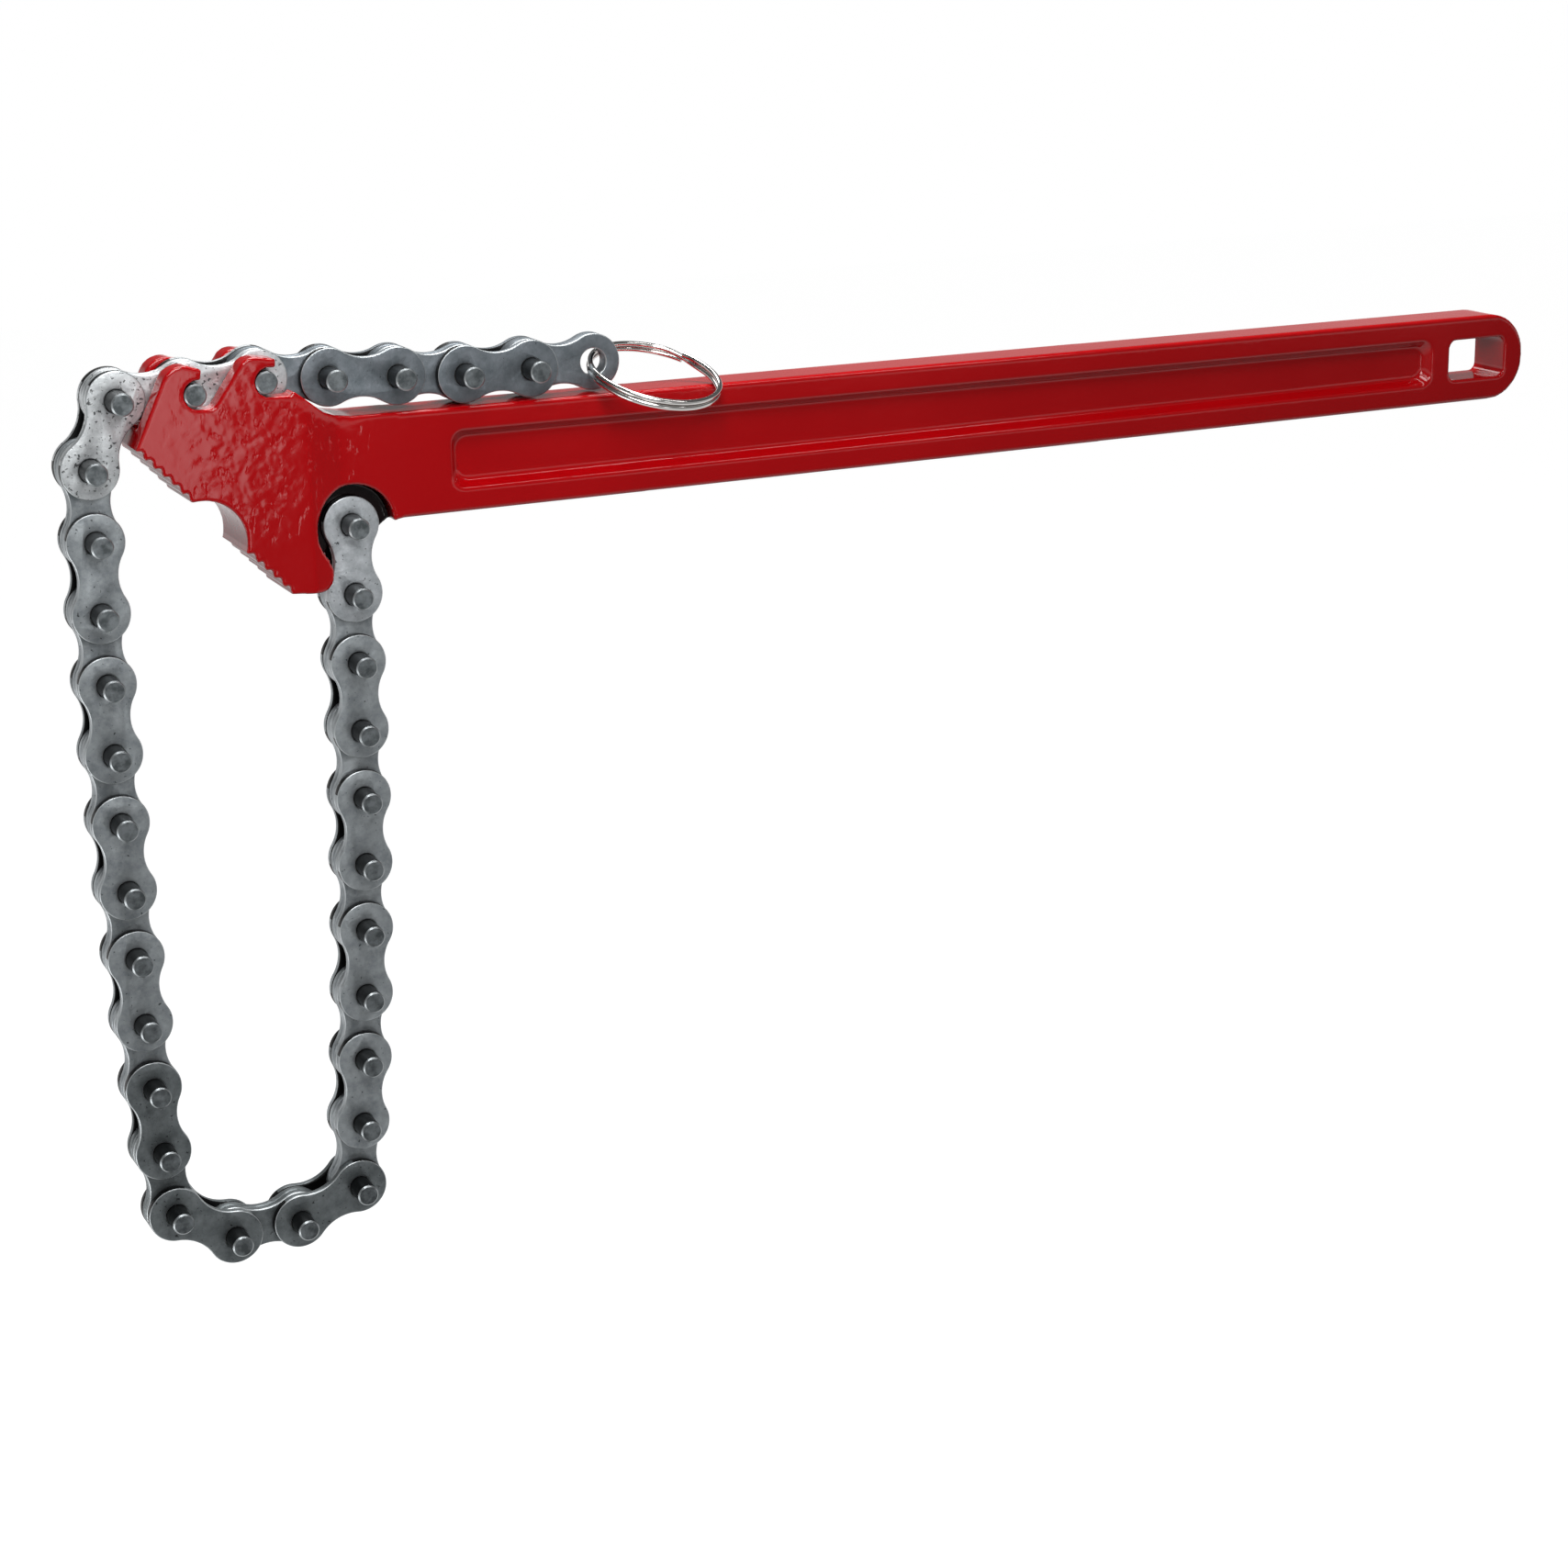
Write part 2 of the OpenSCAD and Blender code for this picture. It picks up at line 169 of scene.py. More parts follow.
def enamelMaterial():
    material, tree, shader, place = newMaterial("bakedRedEnamel")
    axes = addNode(tree, "ShaderNodeSeparateXYZ", inputs={"Vector": place})
    side = addNode(tree, "ShaderNodeMapping", inputs={"Vector": place, "Scale": (1.0, 0.0, 1.0)})

    # dents fade out from the head's middle
    middle = (anchorX + enamel["dentMiddle"][0], 0.0, anchorZ + enamel["dentMiddle"][1])
    fromMiddle = addNode(tree, "ShaderNodeVectorMath", {"operation": "DISTANCE"}, {
        0: side.outputs["Vector"], 1: middle})
    onHead = addNode(tree, "ShaderNodeMapRange", inputs={
        "Value": fromMiddle.outputs["Value"], "From Min": enamel["dentCore"] * enamel["dentReach"],
        "From Max": enamel["dentReach"], "To Min": 1.0, "To Max": 0.0})

    # painted shade: near-black deep in the pocket round the first pin, where shadow falls
    fromPin = addNode(tree, "ShaderNodeVectorMath", {"operation": "DISTANCE"}, {
        0: side.outputs["Vector"], 1: (anchorX, 0.0, anchorZ)})
    inPocket = addNode(tree, "ShaderNodeMapRange", inputs={
        "Value": fromPin.outputs["Value"], "From Min": enamel["paintedShadeOver"],
        "From Max": enamel["paintedShadeEnd"], "To Min": 1.0, "To Max": 0.0})
    out = addNode(tree, "ShaderNodeMath", {"operation": "ABSOLUTE"}, {0: axes.outputs["Y"]})
    deep = addNode(tree, "ShaderNodeMapRange", inputs={
        "Value": out.outputs["Value"], "From Min": enamel["paintedShadeDeep"],
        "From Max": enamel["paintedShadeShallow"], "To Min": 1.0, "To Max": 0.0})
    paintedShadeMask = addNode(tree, "ShaderNodeMath", {"operation": "MULTIPLY"}, {
        0: inPocket.outputs["Result"], 1: deep.outputs["Result"]})

    drift = addNode(tree, "ShaderNodeTexNoise", inputs={
        "Vector": place, "Scale": perMetre(enamel["driftSize"]), "Detail": 3.0})
    paint = addNode(tree, "ShaderNodeMix", {"data_type": "RGBA"}, {
        0: drift.outputs["Fac"], 6: hexColour(enamel["deepRed"]), 7: hexColour(enamel["red"])})
    # the paint turns near-black where the painted pocket shade lies
    paintWithShade = addNode(tree, "ShaderNodeMix", {"data_type": "RGBA"}, {
        0: paintedShadeMask.outputs["Value"], 6: paint.outputs[2], 7: hexColour(enamel["paintedPocketShade"])})
    rough = addNode(tree, "ShaderNodeMapRange", inputs={
        "Value": drift.outputs["Fac"], "From Min": enamel["driftFrom"], "From Max": enamel["driftTo"],
        "To Min": enamel["smooth"], "To Max": enamel["dull"]})

    upright = addNode(tree, "ShaderNodeMapping", inputs={     # the dents run up and down the head
        "Vector": place, "Scale": (1.0, 1.0, enamel["dentSquash"])})
    sand = addNode(tree, "ShaderNodeTexNoise", inputs={
        "Vector": upright.outputs["Vector"], "Scale": perMetre(enamel["dentSize"]), "Detail": 2.0,
        "Roughness": 0.5})
    dents = addNode(tree, "ShaderNodeMapRange", inputs={
        "Value": sand.outputs["Fac"], "From Min": enamel["dentFrom"], "From Max": enamel["dentTo"]})
    headDents = addNode(tree, "ShaderNodeMath", {"operation": "MULTIPLY"}, {
        0: dents.outputs["Result"], 1: onHead.outputs["Result"]})
    peel = addNode(tree, "ShaderNodeTexNoise", inputs={
        "Vector": place, "Scale": perMetre(enamel["peelSize"]), "Detail": 1.0})
    dentBump = addNode(tree, "ShaderNodeBump", inputs={
        "Height": headDents.outputs["Value"], "Distance": enamel["dentHeight"],
        "Strength": enamel["dentStrength"]})
    peelBump = addNode(tree, "ShaderNodeBump", inputs={
        "Height": peel.outputs["Fac"], "Distance": enamel["peelHeight"],
        "Strength": enamel["peelStrength"], "Normal": dentBump.outputs["Normal"]})

    tree.links.new(paintWithShade.outputs[2], shader.inputs["Base Color"])
    tree.links.new(rough.outputs["Result"], shader.inputs["Roughness"])
    tree.links.new(peelBump.outputs["Normal"], shader.inputs["Normal"])
    shader.inputs["IOR"].default_value = enamel["ior"]
    shader.inputs["Specular IOR Level"].default_value = enamel["specular"]
    return material


# Blanked carbon steel, tumbled and oiled: dull grey and cloudy, with dark specks of scale left
# in it, a painted highlight along each plate's rolled edge, and black painted shade with oil in the
# seams
chainSteel = {
    "cloudSize": 4.5, "cloudFrom": 0.36, "cloudTo": 0.64,
    "dull": 0.5, "bright": 0.34, "dullAt": 0.3, "brightAt": 0.7, "metal": 0.72,
    "speck": "#1E2022", "speckSize": 1.0, "speckBlur": 0.05, "speckCover": 0.85,
    "gritSize": 0.8, "gritHeight": 0.0001, "gritStrength": 0.6,
    # the next two lines: black painted shade with oil for the seams, and a painted highlight for the
    # plate edges
    "paintedSeamShade": "#0C0D0E", "seamShadeWidth": 0.0004, "seamShadeClear": 0.00002,
    "paintedEdgeHighlight": "#B6BBBD", "edgeHighlightWidth": 0.00034, "edgeHighlightIn": 0.54, "edgeHighlightHalf": 0.44,
}
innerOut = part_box("inner_link_01")[1].y     # outer faces of the inner and outer plates
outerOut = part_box("outer_link_01")[1].y
# each run's tone paints light and shade as it falls along the chain: the left and right runs and the
# first link lighter, the bottom run and the tail darker; the worn links are lighter from real wear
chainLightShadeAndWear = {
    "leftRun": {"light": "#A8AEB1", "dark": "#80868A", "speckLevel": 0.65},
    "rightRun": {"light": "#AEB4B7", "dark": "#868C90", "speckLevel": 0.66},
    "bottomRun": {"light": "#7E8486", "dark": "#5E6466", "speckLevel": 0.64},
    "tail": {"light": "#7E848A", "dark": "#626A6F", "speckLevel": 0.69},
    "first": {"light": "#CACFD3", "dark": "#9CA2A6", "speckLevel": 0.64},
    "worn": {"light": "#DEE2E4", "dark": "#ADB1B3", "speckLevel": 0.585},
}


def steelMaterial(name, light, dark, speckLevel):
    material, tree, shader, place = newMaterial(name)
    cloud = addNode(tree, "ShaderNodeTexNoise", inputs={
        "Vector": place, "Scale": perMetre(chainSteel["cloudSize"]), "Detail": 8.0, "Roughness": 0.7})
    cloudRange = addNode(tree, "ShaderNodeMapRange", inputs={
        "Value": cloud.outputs["Fac"], "From Min": chainSteel["cloudFrom"],
        "From Max": chainSteel["cloudTo"]})
    tone = addNode(tree, "ShaderNodeMix", {"data_type": "RGBA"}, {
        0: cloudRange.outputs["Result"], 6: hexColour(dark), 7: hexColour(light)})
    specks = addNode(tree, "ShaderNodeTexNoise", inputs={
        "Vector": place, "Scale": perMetre(chainSteel["speckSize"]), "Detail": 3.0, "Roughness": 0.6})
    speckMask = addNode(tree, "ShaderNodeMapRange", inputs={
        "Value": specks.outputs["Fac"], "From Min": speckLevel,
        "From Max": speckLevel + chainSteel["speckBlur"], "To Max": chainSteel["speckCover"]})
    stained = addNode(tree, "ShaderNodeMix", {"data_type": "RGBA"}, {
        0: speckMask.outputs["Result"], 6: tone.outputs[2], 7: hexColour(chainSteel["speck"])})

    # painted highlight: a bright band along the rolled edge of each plate
    axes = addNode(tree, "ShaderNodeSeparateXYZ", inputs={"Vector": place})
    out = addNode(tree, "ShaderNodeMath", {"operation": "ABSOLUTE"}, {0: axes.outputs["Y"]})
    width = chainSteel["edgeHighlightWidth"]
    bands = [addNode(tree, "ShaderNodeMath", {"operation": "COMPARE"}, {
        0: out.outputs["Value"], 1: face - chainSteel["edgeHighlightIn"] * width,
        2: chainSteel["edgeHighlightHalf"] * width}) for face in (innerOut, outerOut)]
    paintedEdgeHighlight = addNode(tree, "ShaderNodeMath", {"operation": "ADD"}, {
        0: bands[0].outputs["Value"], 1: bands[1].outputs["Value"]})
    withEdgeHighlight = addNode(tree, "ShaderNodeMix", {"data_type": "RGBA"}, {
        0: paintedEdgeHighlight.outputs["Value"], 6: stained.outputs[2], 7: hexColour(chainSteel["paintedEdgeHighlight"])})

    # painted shade with oil: black in the seam between plates, and on the lapping ends marked on each
    # piece
    halfSeamShade = 0.5 * chainSteel["seamShadeWidth"]
    seamShadeMask = addNode(tree, "ShaderNodeMath", {"operation": "COMPARE"}, {
        0: out.outputs["Value"], 1: innerOut + halfSeamShade, 2: halfSeamShade - chainSteel["seamShadeClear"]})
    lapShade = addNode(tree, "ShaderNodeAttribute", {"attribute_name": "lapShadeAndOil"})
    oilAndShade = addNode(tree, "ShaderNodeMath", {"operation": "MAXIMUM"}, {
        0: seamShadeMask.outputs["Value"], 1: lapShade.outputs["Fac"]})
    withSeamShade = addNode(tree, "ShaderNodeMix", {"data_type": "RGBA"}, {
        0: oilAndShade.outputs["Value"], 6: withEdgeHighlight.outputs[2], 7: hexColour(chainSteel["paintedSeamShade"])})

    rough = addNode(tree, "ShaderNodeMapRange", inputs={
        "Value": cloud.outputs["Fac"], "From Min": chainSteel["dullAt"],
        "From Max": chainSteel["brightAt"], "To Min": chainSteel["dull"],
        "To Max": chainSteel["bright"]})
    grit = addNode(tree, "ShaderNodeTexNoise", inputs={
        "Vector": place, "Scale": perMetre(chainSteel["gritSize"]), "Detail": 2.0})
    gritBump = addNode(tree, "ShaderNodeBump", inputs={
        "Height": grit.outputs["Fac"], "Distance": chainSteel["gritHeight"],
        "Strength": chainSteel["gritStrength"]})
    tree.links.new(withSeamShade.outputs[2], shader.inputs["Base Color"])
    tree.links.new(rough.outputs["Result"], shader.inputs["Roughness"])
    tree.links.new(gritBump.outputs["Normal"], shader.inputs["Normal"])
    shader.inputs["Metallic"].default_value = chainSteel["metal"]
    return material


# Turned pin steel: a cloudy cut end with a painted highlight on its rim, and a shaft black with old oil
# and painted shade
pinSteel = {
    "end": "#7F8588", "endDark": "#505557", "shaftOilAndShade": "#17191A", "rim": "#94999B",
    "half": 0.0103, "chamfer": 0.00035, "endBlur": 0.0002, "rimHalf": 0.46,
    "cutSize": 2.2, "cutFrom": 0.36, "cutTo": 0.64, "cutHeight": 0.0001, "cutStrength": 0.5,
    "rough": 0.36, "metal": 0.8,
}


def pinMaterial():
    material, tree, shader, place = newMaterial("turnedPinSteel")
    axes = addNode(tree, "ShaderNodeSeparateXYZ", inputs={"Vector": place})
    out = addNode(tree, "ShaderNodeMath", {"operation": "ABSOLUTE"}, {0: axes.outputs["Y"]})
    chamferFrom = pinSteel["half"] - pinSteel["chamfer"]
    onEnd = addNode(tree, "ShaderNodeMapRange", inputs={
        "Value": out.outputs["Value"], "From Min": chamferFrom - pinSteel["endBlur"],
        "From Max": chamferFrom})
    # painted highlight: a bright ring on the chamfer of the pin's end
    onRimHighlight = addNode(tree, "ShaderNodeMath", {"operation": "COMPARE"}, {
        0: out.outputs["Value"], 1: pinSteel["half"] - 0.5 * pinSteel["chamfer"],
        2: pinSteel["rimHalf"] * pinSteel["chamfer"]})
    cloud = addNode(tree, "ShaderNodeTexNoise", inputs={
        "Vector": place, "Scale": perMetre(pinSteel["cutSize"]), "Detail": 4.0, "Roughness": 0.6})
    cuts = addNode(tree, "ShaderNodeMapRange", inputs={
        "Value": cloud.outputs["Fac"], "From Min": pinSteel["cutFrom"], "From Max": pinSteel["cutTo"]})
    face = addNode(tree, "ShaderNodeMix", {"data_type": "RGBA"}, {
        0: cuts.outputs["Result"], 6: hexColour(pinSteel["endDark"]), 7: hexColour(pinSteel["end"])})
    edge = addNode(tree, "ShaderNodeMix", {"data_type": "RGBA"}, {
        0: onRimHighlight.outputs["Value"], 6: face.outputs[2], 7: hexColour(pinSteel["rim"])})
    # the shaft is near-black from old oil and painted shade
    tone = addNode(tree, "ShaderNodeMix", {"data_type": "RGBA"}, {
        0: onEnd.outputs["Result"], 6: hexColour(pinSteel["shaftOilAndShade"]), 7: edge.outputs[2]})
    marks = addNode(tree, "ShaderNodeBump", inputs={
        "Height": cloud.outputs["Fac"], "Distance": pinSteel["cutHeight"],
        "Strength": pinSteel["cutStrength"]})
    tree.links.new(tone.outputs[2], shader.inputs["Base Color"])
    tree.links.new(marks.outputs["Normal"], shader.inputs["Normal"])
    shader.inputs["Roughness"].default_value = pinSteel["rough"]
    shader.inputs["Metallic"].default_value = pinSteel["metal"]
    return material


# Nickel plate over spring wire: a bright mirror, a little duller in patches from drawing
nickelPlate = {"colour": "#D2D0CD", "markSize": 2.5, "smooth": 0.06, "dull": 0.16}


def nickelMaterial():
    material, tree, shader, place = newMaterial("nickelPlate")
    marks = addNode(tree, "ShaderNodeTexNoise", inputs={
        "Vector": place, "Scale": perMetre(nickelPlate["markSize"]), "Detail": 2.0})
    rough = addNode(tree, "ShaderNodeMapRange", inputs={
        "Value": marks.outputs["Fac"], "To Min": nickelPlate["smooth"], "To Max": nickelPlate["dull"]})
    tree.links.new(rough.outputs["Result"], shader.inputs["Roughness"])
    shader.inputs["Base Color"].default_value = hexColour(nickelPlate["colour"])
    shader.inputs["Metallic"].default_value = 1.0
    return material


redEnamel = enamelMaterial()
plateSteel = {run: steelMaterial(run + "PlateSteel", **tone) for run, tone in chainLightShadeAndWear.items()}
darkPin = pinMaterial()
nickel = nickelMaterial()
print("materials made")

# The cast body: the CAD solid with its edges run soft by sand and paint, and lumps on the head's
# faces. Places are measured from the first pin, in metres.
castBody = {
    "voxel": 0.00038, "triangles": 185000,
    "smoothing": 0.5, "headPasses": 3, "rootPasses": 60, "edgePasses": 2,
    "headFrom": 0.002, "headBlend": 0.02, "rootFrom": -0.016, "rootTo": 0.004, "rootAbove": 0.014,
    "jawTip": (-0.0487, 0.0219), "jawSlope": 47.0, "toothDepth": 0.003,
    "lumpSize": 0.0021, "lumpHeight": 0.0001, "lumpLeast": 0.1,
    "lumpMiddle": (-0.02, 0.022), "lumpReach": 0.026,
}


def markCasting(piece):
    slope = math.radians(castBody["jawSlope"])
    inward = Vector((math.sin(slope), math.cos(slope)))     # away from the teeth
    tip = Vector((anchorX, anchorZ)) + Vector(castBody["jawTip"])
    middle = Vector((anchorX, anchorZ)) + Vector(castBody["lumpMiddle"])
    rootLength = castBody["rootTo"] - castBody["rootFrom"]
    soft = piece.vertex_groups.new(name="headEdges")
    root = piece.vertex_groups.new(name="rootRamp")
    lumpy = piece.vertex_groups.new(name="headFaces")
    for vertex in piece.data.vertices:
        x, z = vertex.co.x, vertex.co.z
        onHead = clamped((anchorX + castBody["headFrom"] - x) / castBody["headBlend"])
        depth = (Vector((x, z)) - tip).dot(inward)
        clear = clamped(depth / castBody["toothDepth"] - 0.5)     # keeps the teeth sharp
        facing = clamped(abs(vertex.normal.y) * 2 - 1)
        across = (x - anchorX - castBody["rootFrom"]) / rootLength
        above = z > anchorZ + castBody["rootAbove"]
        ramp = facing * max(0.0, 1 - abs(2 * across - 1)) if above else 0.0
        spread = (Vector((x, z)) - middle).length / castBody["lumpReach"]
        lump = castBody["lumpLeast"] + (1 - castBody["lumpLeast"]) * max(0.0, 1 - spread * spread)
        soft.add([vertex.index], onHead * clear, "REPLACE")
        root.add([vertex.index], min(1.0, 2 * ramp), "REPLACE")
        lumpy.add([vertex.index], lump * clear * facing, "REPLACE")


def makeCastBody():
    piece = copyOfNode("wrench_body", "castBody")
    applyModifier(piece, "REMESH", mode="VOXEL", voxel_size=castBody["voxel"], adaptivity=0.0)
    markCasting(piece)
    for passes, group in (("headPasses", "headEdges"), ("rootPasses", "rootRamp"), ("edgePasses", "")):
        applyModifier(piece, "SMOOTH", factor=castBody["smoothing"], iterations=castBody[passes],
                      vertex_group=group)
    lumps = bpy.data.textures.new("castLumps", "CLOUDS")
    lumps.noise_scale = castBody["lumpSize"]
    lumps.noise_depth = 1
    applyModifier(piece, "DISPLACE", texture=lumps, texture_coords="LOCAL",
                  strength=castBody["lumpHeight"], mid_level=0.5, vertex_group="headFaces")
    triangles = sum(len(face.vertices) - 2 for face in piece.data.polygons)
    applyModifier(piece, "DECIMATE", ratio=min(1.0, castBody["triangles"] / triangles))
    makeActive(piece)
    bpy.ops.object.shade_smooth()
    piece.data.materials.append(redEnamel)
    standFor(piece, "wrench_body")
    print("cast body:", len(piece.data.polygons), "faces")


makeCastBody()

# Chain plates: the blanked edges are rolled over a little by tumbling. Angles are in degrees.
chainPlates = {
    "edge": 0.00034, "segments": 3, "flatWithin": 1.0, "edgeOver": 50, "smoothUnder": 35,
    "lapFrom": 0.008, "lapOutward": 0.2, "lapUpright": 0.3,
}
runOfLink = {     # counted along the chain from the first pin; the links between are the right run
    "first": range(1, 2), "bottomRun": range(11, 16), "leftRun": range(16, 25),
    "worn": range(25, 28), "tail": range(28, 33),
}


def linkNumber(nodeName):
    if nodeName == "end_link":
        return 32
    count = int(nodeName[-2:])
    return 2 * count - 1 if nodeName.startswith("outer") else 2 * count


# marks the round ends of outer plates, where they lap over the inner plates, for black painted shade
# with oil
def markLapShade(piece, lapping):
    spots = [(vertex.co.x, vertex.co.z) for vertex in piece.data.vertices]
    midX, midZ = (sum(spot[i] for spot in spots) / len(spots) for i in (0, 1))
    wide = sum((x - midX) ** 2 - (z - midZ) ** 2 for x, z in spots)
    slant = sum((x - midX) * (z - midZ) for x, z in spots)
    turn = 0.5 * math.atan2(2 * slant, wide)     # the way that the plate lies
    along = Vector((math.cos(turn), 0, math.sin(turn)))
    marks = []
    for face in piece.data.polygons:
        far = (face.center - Vector((midX, 0, midZ))).dot(along)
        outward = face.normal.dot(along) * math.copysign(1, far)
        onLap = (abs(far) > chainPlates["lapFrom"] and outward > chainPlates["lapOutward"]
                 and abs(face.normal.y) < chainPlates["lapUpright"])
        marks.append(1.0 if lapping and onLap else 0.0)
    piece.data.attributes.new("lapShadeAndOil", "FLOAT", "FACE").data.foreach_set("value", marks)


def makePlates(nodeName):
    piece = copyOfNode(nodeName, "plates." + nodeName)
    bpy.ops.object.mode_set(mode="EDIT")
    bpy.ops.mesh.select_all(action="SELECT")
    bpy.ops.mesh.dissolve_limited(angle_limit=math.radians(chainPlates["flatWithin"]))
    bpy.ops.object.mode_set(mode="OBJECT")
    applyModifier(piece, "BEVEL", width=chainPlates["edge"], segments=chainPlates["segments"],
                  limit_method="ANGLE", angle_limit=math.radians(chainPlates["edgeOver"]),
                  use_clamp_overlap=True)
    makeActive(piece)
    bpy.ops.object.shade_smooth_by_angle(angle=math.radians(chainPlates["smoothUnder"]))
    markLapShade(piece, nodeName.startswith("outer_link"))     # the round ends lap over the inner plates
    link = linkNumber(nodeName)
    run = next((name for name, links in runOfLink.items() if link in links), "rightRun")
    piece.data.materials.append(plateSteel[run])
    standFor(piece, nodeName)
    return len(piece.data.polygons)


plateFaces = 0
for nodeName in frame["nodes"]:
    if nodeName.startswith(("outer_link", "inner_link", "end_link")):
        plateFaces += makePlates(nodeName)
    elif nodeName.startswith("link_pins"):     # the CAD pins are right as they are
        pins = frame["nodes"][nodeName]
        pins.data.materials.clear()
        pins.data.materials.append(darkPin)
print("chain plates:", plateFaces, "faces")

# Split ring: one wire wound twice, crossing from its lower turn to its upper one
splitRing = {
    "radius": 0.0152, "wire": 0.00063, "turnGap": 0.0001, "lift": 0.0002,
    "roll": 13.5, "dip": 14.5, "yaw": -26.0, "crossAt": 70.0, "crossSpan": 40.0,
    "steps": 240, "wireRounding": 4, "smoothUnder": 40,
}


def makeSplitRing():
    half = splitRing["wire"] + splitRing["turnGap"] / 2
    hole = Vector(joints["ring_swing"]["pos_m"]) + Vector((0, 0, splitRing["lift"]))
    turn = (Matrix.Rotation(math.radians(splitRing["yaw"]), 3, "Z")
            @ Matrix.Rotation(math.radians(splitRing["dip"]), 3, "Y")
            @ Matrix.Rotation(math.radians(splitRing["roll"]), 3, "X"))
    bpy.ops.curve.primitive_nurbs_path_add()
    piece = bpy.context.object
    piece.name = "splitRing"
    line = piece.data
    line.splines.clear()
    wire = line.splines.new("POLY")
    radius, count = splitRing["radius"], splitRing["steps"]
    wire.points.add(count)
    for step in range(count + 1):
        angle = 720.0 * step / count     # two turns
        share = clamped((angle - 360.0) / splitRing["crossSpan"] + 0.5)
        height = half * (2 * (share * share * (3 - 2 * share)) - 1)
        around = math.radians(angle + splitRing["crossAt"])
        flat = Vector((radius * (1 + math.cos(around)), radius * math.sin(around), height))
        wire.points[step].co = (*(hole + turn @ flat), 1.0)
    line.dimensions = "3D"
    line.bevel_depth = splitRing["wire"]
    line.bevel_resolution = splitRing["wireRounding"]
    line.use_fill_caps = True
    makeActive(piece)
    bpy.ops.object.convert(target="MESH")
    bpy.ops.object.shade_smooth_by_angle(angle=math.radians(splitRing["smoothUnder"]))
    piece.data.materials.clear()
    piece.data.materials.append(nickel)
    standFor(piece, "split_ring")
    print("split ring:", len(piece.data.polygons), "faces")


deselectAll()
makeSplitRing()

# Camera, worked out from where the pins, hooks and hanging hole fall in the photograph
view = {
    "at": (-0.44036, -0.67306, 0.12997), "azimuth": -25.286, "elevation": 16.408, "roll": -0.973,
    "lens": 72.72, "sensor": 36.0, "nearest": 0.01, "farthest": 50.0,
}


def makeCamera():
    azimuth, elevation, roll = (math.radians(view[k]) for k in ("azimuth", "elevation", "roll"))
    ahead = Vector((-math.sin(azimuth) * math.cos(elevation), math.cos(azimuth) * math.cos(elevation),
                    -math.sin(elevation)))
    side = Vector((math.cos(azimuth), math.sin(azimuth), 0))
    up = side.cross(ahead)
    right = math.cos(roll) * side + math.sin(roll) * up
    top = -math.sin(roll) * side + math.cos(roll) * up
    turn = Matrix((right, top, -ahead)).transposed().to_4x4()
    bpy.ops.object.camera_add()
    camera = bpy.context.object
    camera.matrix_world = Matrix.Translation(view["at"]) @ turn
    camera.data.sensor_width = view["sensor"]
    camera.data.lens = view["lens"]
    camera.data.clip_start, camera.data.clip_end = view["nearest"], view["farthest"]
    scene.camera = camera


makeCamera()

# Studio: white all round under a dim ceiling, a floor that keeps a faint shadow, and soft lamps.
# In gloss the floor dims towards the room's dark end, in front of the tool.
studio = {
    "worldLight": 0.1, "ceiling": 0.12, "ceilingFrom": 0.0, "ceilingTo": 0.19,
    "floorSize": 8.0, "floorDrop": 0.34, "floorColour": "#8A8A8A", "floorGlow": 0.97,
    "darkFrom": -0.25, "darkTo": -0.9, "darkGlow": 0.1, "nearGlow": 0.75,
}
lamps = {
    "keyLamp": {"at": (-0.36, -0.42, 0.70), "aim": (-0.12, 0, 0), "size": 0.28, "power": 2.0},
    "sheenLamp": {"at": (-0.095, -1.02, -0.155), "aim": (-0.25, 0, 0.0), "size": 0.22, "power": 0.3},
    "fillLamp": {"at": (-0.27, -0.36, 0.22), "aim": (-0.25, 0, 0.0), "size": 0.2, "power": 1.1},
    "rimLamp": {"at": (0.0, 0.25, 0.80), "aim": (0, 0, 0), "size": 0.4, "power": 7.0},
    "stripLamp": {"at": (0.10, -0.25, 0.78), "aim": (-0.2, 0, 0), "size": 0.07, "long": 0.8,
                  "power": 1.5},
    "backLamp": {"at": (-0.15, 0.75, 0.80), "aim": (-0.1, 0, -0.03), "size": 0.5, "power": 3.0},
    "bounceLamp": {"at": (-0.75, 0.0, -0.42), "aim": (-0.25, 0, -0.02), "size": 0.4, "power": 1.5},
}


def seenDirectly(tree):
    rays = addNode(tree, "ShaderNodeLightPath")
    mirrored = addNode(tree, "ShaderNodeMath", {"operation": "MAXIMUM"}, {
        0: rays.outputs["Is Glossy Ray"], 1: rays.outputs["Is Transmission Ray"]})
    return rays.outputs["Is Camera Ray"], mirrored.outputs["Value"]


def makeWorld():
    world = bpy.data.worlds.new("whiteRoom")
    scene.world = world
    world.use_nodes = True
    tree = world.node_tree
    tree.nodes.clear()
    byCamera, mirrored = seenDirectly(tree)
    direction = addNode(tree, "ShaderNodeTexCoord").outputs["Generated"]
    height = addNode(tree, "ShaderNodeSeparateXYZ", inputs={"Vector": direction})
    overhead = addNode(tree, "ShaderNodeMapRange", inputs={
        "Value": height.outputs["Z"], "From Min": studio["ceilingFrom"], "From Max": studio["ceilingTo"],
        "To Min": 1.0, "To Max": studio["ceiling"]})
    strength = addNode(tree, "ShaderNodeMix", {"data_type": "FLOAT"}, {
        0: mirrored, 2: studio["worldLight"], 3: overhead.outputs["Result"]})
    shown = addNode(tree, "ShaderNodeMath", {"operation": "MAXIMUM"}, {
        0: strength.outputs[0], 1: byCamera})
    back = addNode(tree, "ShaderNodeBackground", inputs={
        "Color": (1, 1, 1, 1), "Strength": shown.outputs["Value"]})
    addNode(tree, "ShaderNodeOutputWorld", inputs={"Surface": back.outputs["Background"]})


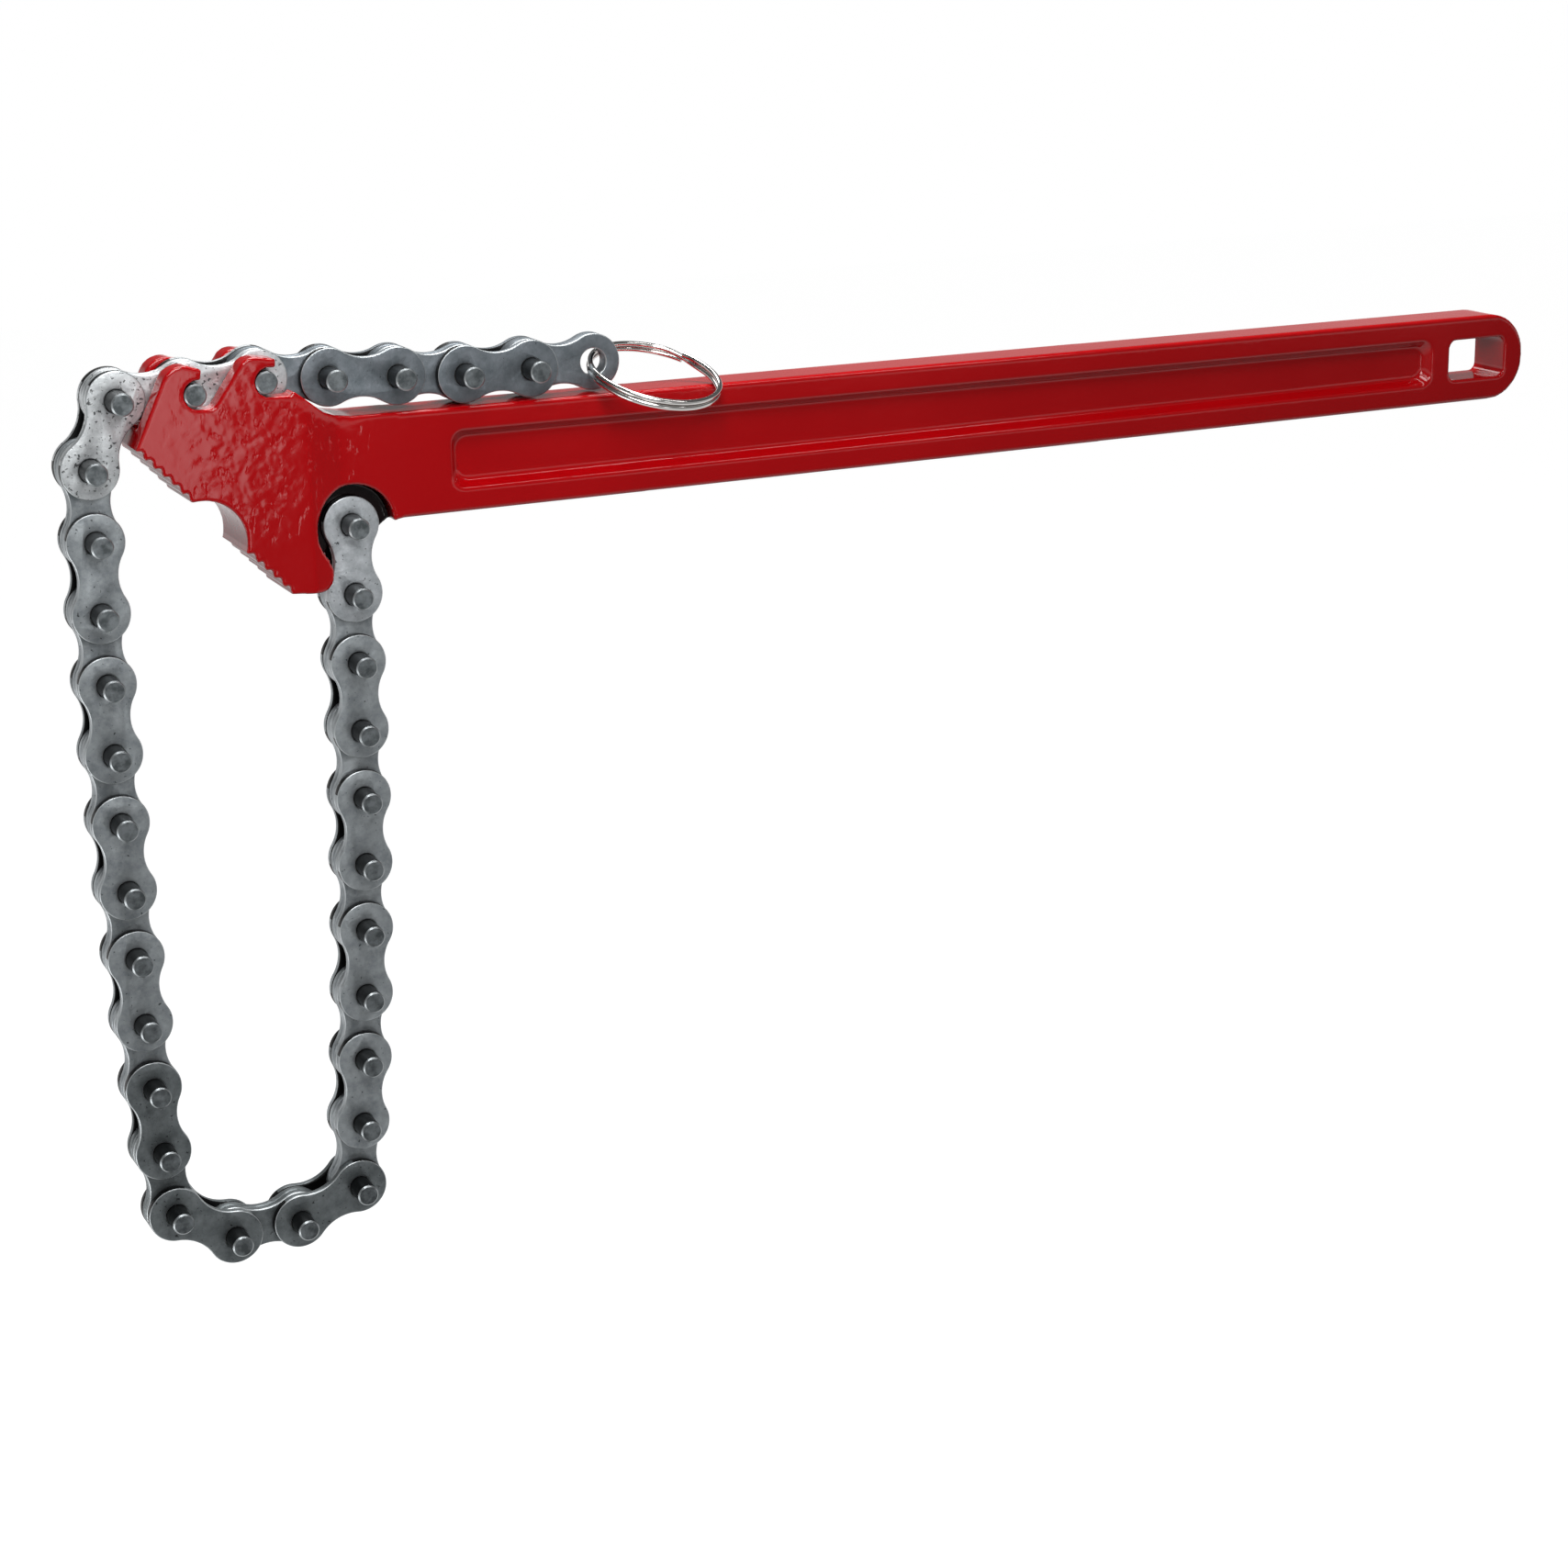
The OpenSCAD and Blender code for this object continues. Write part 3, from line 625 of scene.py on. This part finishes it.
def makeFloor():
    deselectAll()
    bpy.ops.mesh.primitive_plane_add(
        size=studio["floorSize"], location=(0, 0, cadLow.z - studio["floorDrop"]))
    floor = bpy.context.object
    floor.name = "floor"
    material = bpy.data.materials.new("paleFloor")
    material.use_nodes = True
    tree = material.node_tree
    tree.nodes.clear()
    byCamera, mirrored = seenDirectly(tree)
    place = addNode(tree, "ShaderNodeSeparateXYZ", inputs={
        "Vector": addNode(tree, "ShaderNodeTexCoord").outputs["Object"]})
    unlit = addNode(tree, "ShaderNodeMapRange", inputs={
        "Value": place.outputs["Y"], "From Min": studio["darkTo"], "From Max": studio["darkFrom"],
        "To Min": studio["darkGlow"], "To Max": studio["nearGlow"]})
    reflected = addNode(tree, "ShaderNodeMath", {"operation": "MULTIPLY"}, {
        0: mirrored, 1: unlit.outputs["Result"]})
    seen = addNode(tree, "ShaderNodeMath", {"operation": "MAXIMUM"}, {
        0: byCamera, 1: reflected.outputs["Value"]})
    glow = addNode(tree, "ShaderNodeMath", {"operation": "MULTIPLY"}, {
        0: seen.outputs["Value"], 1: studio["floorGlow"]})
    light = addNode(tree, "ShaderNodeEmission", inputs={
        "Color": (1, 1, 1, 1), "Strength": glow.outputs["Value"]})
    matt = addNode(tree, "ShaderNodeBsdfDiffuse", inputs={"Color": hexColour(studio["floorColour"])})
    both = addNode(tree, "ShaderNodeAddShader", inputs={0: light.outputs[0], 1: matt.outputs[0]})
    addNode(tree, "ShaderNodeOutputMaterial", inputs={"Surface": both.outputs[0]})
    floor.data.materials.append(material)


def makeLamps():
    for name, lamp in lamps.items():
        bpy.ops.object.light_add(type="AREA", location=lamp["at"])
        made = bpy.context.object
        made.name = name
        made.data.energy = lamp["power"]
        made.data.shape = "RECTANGLE" if "long" in lamp else "DISK"
        made.data.size = lamp["size"]
        made.data.size_y = lamp.get("long", lamp["size"])
        made.visible_camera = False
        beam = Vector(lamp["aim"]) - Vector(lamp["at"])
        made.rotation_euler = beam.to_track_quat("-Z", "Y").to_euler()


makeWorld()
makeFloor()
makeLamps()
scene.view_settings.view_transform = "Standard"
print("studio made")

bpy.context.view_layer.update()
